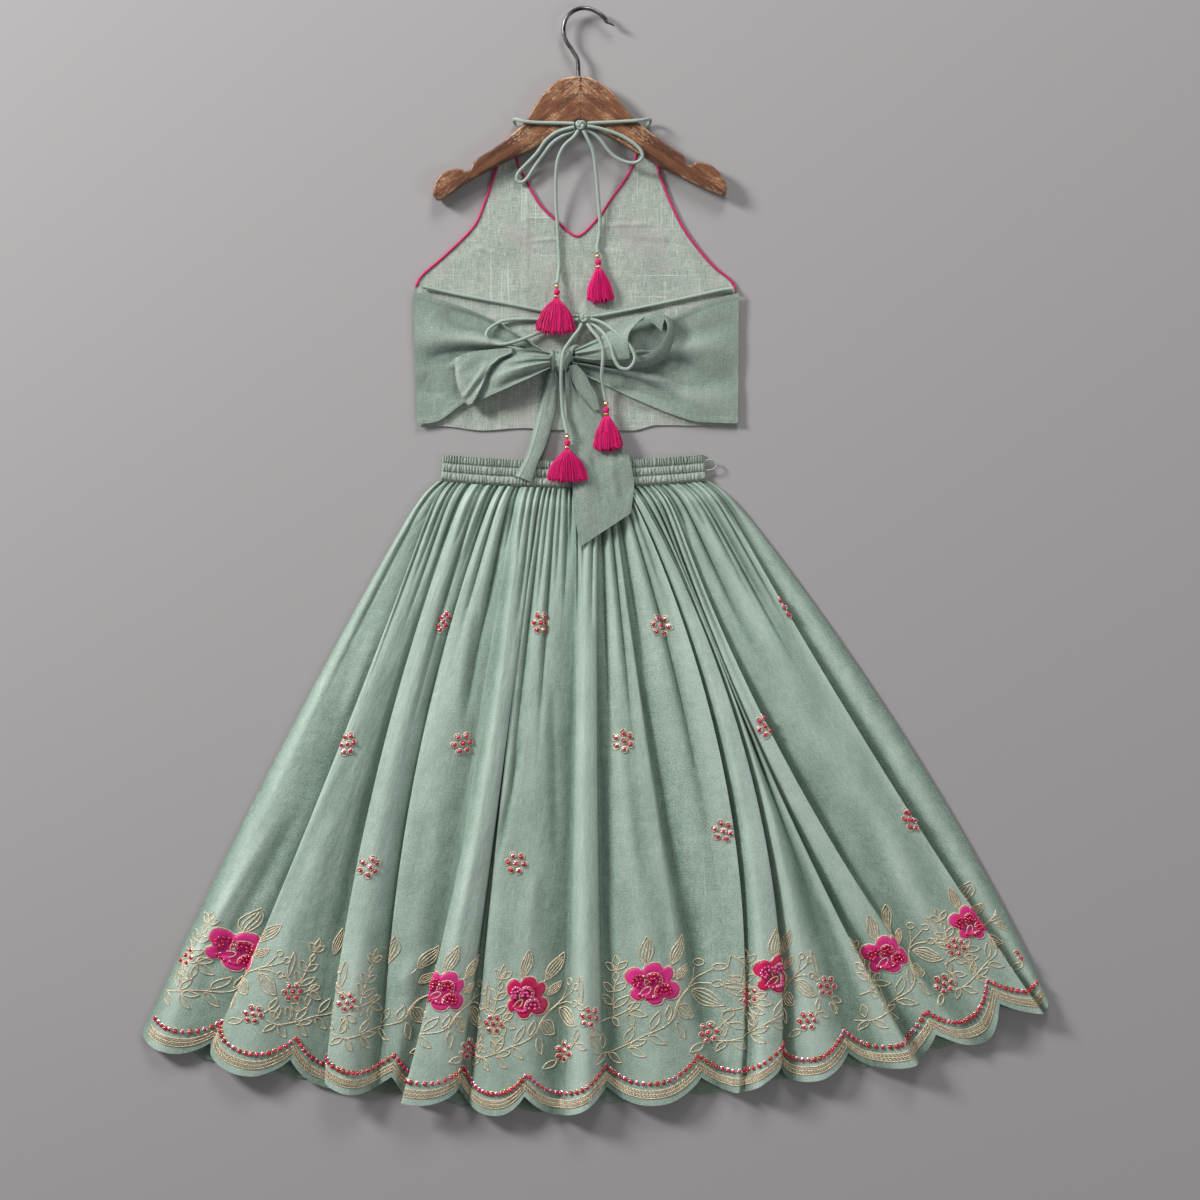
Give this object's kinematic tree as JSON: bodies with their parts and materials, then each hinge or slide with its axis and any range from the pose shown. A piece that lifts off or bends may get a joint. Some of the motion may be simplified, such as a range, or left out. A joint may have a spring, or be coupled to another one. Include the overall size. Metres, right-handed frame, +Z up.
{
  "type": "lehenga choli laid flat with its hanger",
  "caption": "Child's flared, gathered skirt with scalloped embroidered hem and backless halter blouse with bow and tasselled cords, laid flat with a wooden hanger.",
  "frame": {"origin": "centre of the laid garment's outline, on the floor that it lies on", "axes": "+Z up from the floor, +Y from the skirt's hem to the hanger's hook, +X to the right seen from above"},
  "size_m": [0.912, 1.131, 0.0249],
  "materials": {
    "sage_cloth": "matte cotton silk in sage green, plain weave, with gold thread and bead embroidery at the hem",
    "sage_lining": "pale sage cotton lining with a slubby plain weave",
    "sage_cord": "satin tube cord in pale sage",
    "crimson_piping": "satin piping in crimson pink",
    "pink_thread": "hot pink silk thread",
    "gold": "polished gold-coloured metal",
    "brown_wood": "worn dark brown stained wood",
    "dark_steel": "dark steel wire"
  },
  "bodies": {
    "root": {"skirt_back": "sage_cloth", "skirt_front": "sage_cloth", "waistband_back": "sage_cloth", "waistband_front": "sage_cloth", "choli_back_left": "sage_cloth", "choli_back_right": "sage_cloth", "sash_knot": "sage_cloth", "sash_loop_left": "sage_cloth", "sash_loop_right": "sage_cloth", "sash_tail_left": "sage_cloth", "sash_tail_right": "sage_cloth", "choli_front": "sage_lining", "neck_cord_left": "sage_cord", "neck_cord_right": "sage_cord", "neck_cord_knot": "sage_cord", "neck_loop_left": "sage_cord", "neck_loop_right": "sage_cord", "neck_tail_left": "sage_cord", "neck_tail_right": "sage_cord", "back_cord_left": "sage_cord", "back_cord_right": "sage_cord", "back_cord_knot": "sage_cord", "back_loop_left": "sage_cord", "back_loop_right": "sage_cord", "back_tail_left": "sage_cord", "back_tail_right": "sage_cord", "waist_loop": "sage_cord", "piping_neck": "crimson_piping", "piping_armhole_left": "crimson_piping", "piping_armhole_right": "crimson_piping", "tassel_neck_left": "pink_thread", "tassel_neck_right": "pink_thread", "tassel_back_left": "pink_thread", "tassel_back_right": "pink_thread", "wrapped_bead_neck_left": "pink_thread", "wrapped_bead_neck_right": "pink_thread", "wrapped_bead_back_left": "pink_thread", "wrapped_bead_back_right": "pink_thread", "gold_bead_neck_left": "gold", "gold_ring_neck_left": "gold", "gold_bead_neck_right": "gold", "gold_ring_neck_right": "gold", "gold_bead_back_left": "gold", "gold_ring_back_left": "gold", "gold_bead_back_right": "gold", "gold_ring_back_right": "gold", "hanger_wood": "brown_wood", "hanger_hook": "dark_steel"}
  },
  "joints": []
}
